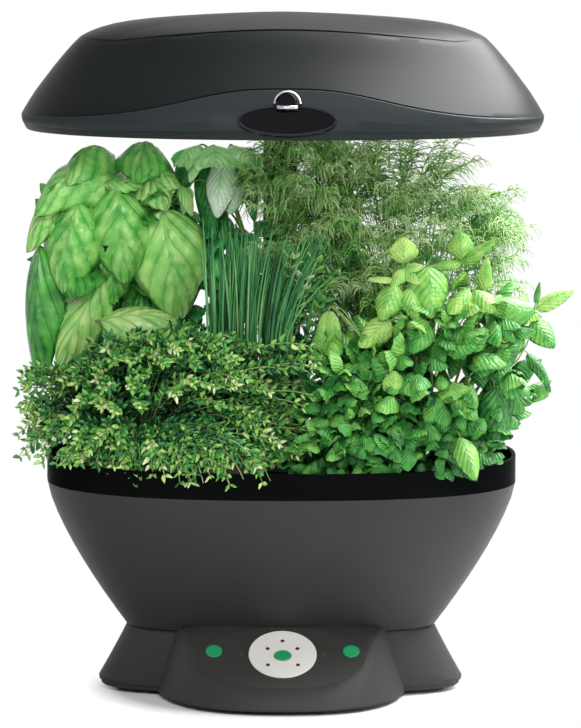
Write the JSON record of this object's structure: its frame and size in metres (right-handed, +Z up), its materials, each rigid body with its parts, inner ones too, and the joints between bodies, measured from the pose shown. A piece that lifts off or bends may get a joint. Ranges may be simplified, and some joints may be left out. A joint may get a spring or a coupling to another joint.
{
  "type": "countertop hydroponic garden",
  "caption": "Table-top water garden: footed base with sloping button console, boat-shaped bowl, planted pod deck, and a lamp hood on a sliding mast.",
  "frame": {"origin": "on the table, under the middle of the foot", "axes": "+X to the right seen from the front, -Y to the front, +Z up"},
  "size_m": [0.4, 0.264, 0.526],
  "materials": {
    "foot_plastic": "satin charcoal moulding with a fine texture",
    "rubber": "matt",
    "steel": "plain",
    "board": "green solder mask",
    "overlay": "satin film",
    "dial": "satin off-white print",
    "led_lens": "clear dark red lens",
    "button_green": "satin green",
    "bowl_plastic": "fine matt texture",
    "deck_gloss": "high gloss black",
    "basket_plastic": "satin",
    "sponge": "moist peat foam",
    "label": "paper film",
    "pump_plastic": "satin",
    "impeller": "natural",
    "tube": "milky",
    "mast_metal": "black anodised",
    "bush": "natural acetal",
    "lead": "satin",
    "hood_plastic": "satin charcoal with a cool cast",
    "lip_plastic": "satin",
    "reflector": "white painted sheet",
    "ballast": "potted can",
    "socket": "heat resistant white",
    "lamp_glass": "opal",
    "badge_black": "high gloss",
    "badge_rim": "satin chrome",
    "basil_leaf": "glossy leaf",
    "broad_leaf": "leaf",
    "dill_leaf": "feathery leaf",
    "thyme_leaf": "small matt leaf",
    "chive_leaf": "waxy blade",
    "mint_leaf": "soft leaf"
  },
  "bodies": {
    "stand": {"base_housing": "foot_plastic", "base_plate": "foot_plastic", "rubber_feet": "rubber", "base_screws": "steel", "power_inlet": "pump_plastic", "control_board": "board", "tact_switches": "steel", "console_overlay": "overlay", "dial_face": "dial", "console_lights": "led_lens", "bowl": "bowl_plastic", "grow_deck": "deck_gloss", "fill_lid_pin": "steel", "pump_body": "pump_plastic", "pump_cover": "pump_plastic", "pump_shaft": "steel", "water_tube": "tube", "drip_manifold": "pump_plastic", "grow_basket_1": "basket_plastic", "grow_basket_2": "basket_plastic", "grow_basket_3": "basket_plastic", "grow_basket_4": "basket_plastic", "grow_basket_5": "basket_plastic", "grow_basket_6": "basket_plastic", "grow_sponge_1": "sponge", "grow_sponge_2": "sponge", "grow_sponge_3": "sponge", "grow_sponge_4": "sponge", "grow_sponge_5": "sponge", "grow_sponge_6": "sponge", "pod_labels": "label", "mast_outer": "mast_metal", "mast_collar": "basket_plastic", "lamp_lead": "lead", "basil": "basil_leaf", "broad_herb": "broad_leaf", "dill": "dill_leaf", "thyme": "thyme_leaf", "chives": "chive_leaf", "mint": "mint_leaf"},
    "lamp": {"mast_inner": "mast_metal", "mast_slides": "bush", "hood_shell": "hood_plastic", "hood_lip": "lip_plastic", "hood_bracket": "pump_plastic", "hood_screws": "steel", "reflector": "reflector", "ballast": "ballast", "socket_left": "socket", "socket_right": "socket", "bulb_left": "lamp_glass", "bulb_right": "lamp_glass", "badge_plate": "badge_black", "badge_rim": "badge_rim", "badge_dome": "badge_black"},
    "select_button": {"select_button": "button_green"},
    "left_button": {"left_button": "button_green"},
    "right_button": {"right_button": "button_green"},
    "fill_lid": {"fill_lid": "deck_gloss"},
    "impeller": {"pump_impeller": "impeller"}
  },
  "joints": [
    {"name": "lamp_slide", "type": "slide", "parent": "stand", "child": "lamp", "axis": [0, 0, 1], "range_m": [-0.14, 0], "deforming": ["basil", "broad_herb", "dill", "thyme", "chives", "mint", "lamp_lead"]},
    {"name": "select_press", "type": "slide", "parent": "stand", "child": "select_button", "axis": [0, 0.5505, -0.8348], "range_m": [0, 0.001], "stiffness_N_per_m": 1500, "springref_m": -0.0004},
    {"name": "left_press", "type": "slide", "parent": "stand", "child": "left_button", "axis": [0, 0.5505, -0.8348], "range_m": [0, 0.001], "stiffness_N_per_m": 1500, "springref_m": -0.0004},
    {"name": "right_press", "type": "slide", "parent": "stand", "child": "right_button", "axis": [0, 0.5505, -0.8348], "range_m": [0, 0.001], "stiffness_N_per_m": 1500, "springref_m": -0.0004},
    {"name": "fill_lid_hinge", "type": "hinge", "parent": "stand", "child": "fill_lid", "pos_m": [0.072, 0.112, 0.1776], "axis": [-1, 0, 0], "range_deg": [0, 100]},
    {"name": "impeller_spin", "type": "hinge", "parent": "stand", "child": "impeller", "pos_m": [-0.06, 0, 0.08], "axis": [0, 0, 1], "continuous": true}
  ]
}
